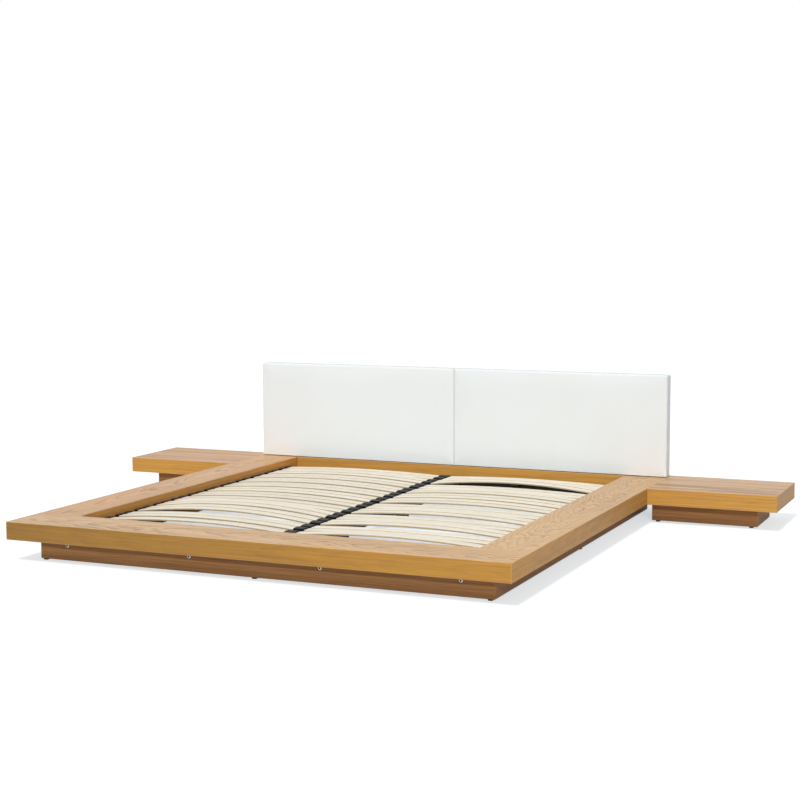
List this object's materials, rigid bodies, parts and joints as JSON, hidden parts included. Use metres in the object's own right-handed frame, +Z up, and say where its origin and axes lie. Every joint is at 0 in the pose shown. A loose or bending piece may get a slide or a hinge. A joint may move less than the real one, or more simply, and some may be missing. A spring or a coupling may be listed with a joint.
{
  "type": "platform bed",
  "caption": "Low platform bed with broad wooden ledges on a set-back plinth, bedside tables level with the ledge, a padded two-panel headboard and a sprung slat deck.",
  "frame": {"origin": "on the floor, under the middle of the bed's outline", "axes": "+X to the right seen from the foot end, +Y towards the headboard, +Z up"},
  "size_m": [3.42, 2.32, 0.67],
  "materials": {
    "ledge_veneer": "satin lacquered oak veneer",
    "plinth_veneer": "brown satin lacquered veneer",
    "inner_wood": "planed softwood",
    "dark_timber": "black stained timber",
    "backing_wood": "raw board",
    "slat_birch": "smooth birch plywood",
    "cap_plastic": "charcoal moulded",
    "glide_plastic": "black moulded",
    "zinc_steel": "zinc plated",
    "bolt_steel": "bright zinc plated",
    "headboard_leather": "smooth white coated leather"
  },
  "bodies": {
    "root": {"beam_hanger_front": "zinc_steel", "beam_hanger_rear": "zinc_steel", "beam_leg_front": "dark_timber", "beam_leg_glides": "glide_plastic", "beam_leg_rear": "dark_timber", "bedside_corner_blocks": "inner_wood", "bedside_glides": "glide_plastic", "bedside_link_plates": "zinc_steel", "centre_beam": "dark_timber", "centre_slat_caps": "cap_plastic", "front_ledge": "ledge_veneer", "front_plinth_bolts": "bolt_steel", "front_plinth_nuts": "zinc_steel", "headboard_brackets": "zinc_steel", "headboard_left_board": "backing_wood", "headboard_left_pad": "headboard_leather", "headboard_right_board": "backing_wood", "headboard_right_pad": "headboard_leather", "ledge_brackets": "zinc_steel", "ledge_tenons": "inner_wood", "left_bedside_plinth_front": "plinth_veneer", "left_bedside_plinth_inner": "plinth_veneer", "left_bedside_plinth_outer": "plinth_veneer", "left_bedside_plinth_rear": "plinth_veneer", "left_bedside_top": "ledge_veneer", "left_side_ledge": "ledge_veneer", "left_slat_batten": "dark_timber", "left_slat_caps": "cap_plastic", "plinth_corner_blocks": "inner_wood", "plinth_front": "plinth_veneer", "plinth_glides": "glide_plastic", "plinth_left": "plinth_veneer", "plinth_rear": "plinth_veneer", "plinth_right": "plinth_veneer", "rear_ledge": "ledge_veneer", "right_bedside_plinth_front": "plinth_veneer", "right_bedside_plinth_inner": "plinth_veneer", "right_bedside_plinth_outer": "plinth_veneer", "right_bedside_plinth_rear": "plinth_veneer", "right_bedside_top": "ledge_veneer", "right_side_ledge": "ledge_veneer", "right_slat_batten": "dark_timber", "right_slat_caps": "cap_plastic", "slat_row_01": "slat_birch", "slat_row_02": "slat_birch", "slat_row_03": "slat_birch", "slat_row_04": "slat_birch", "slat_row_05": "slat_birch", "slat_row_06": "slat_birch", "slat_row_07": "slat_birch", "slat_row_08": "slat_birch", "slat_row_09": "slat_birch", "slat_row_10": "slat_birch", "slat_row_11": "slat_birch", "slat_row_12": "slat_birch"}
  },
  "joints": []
}
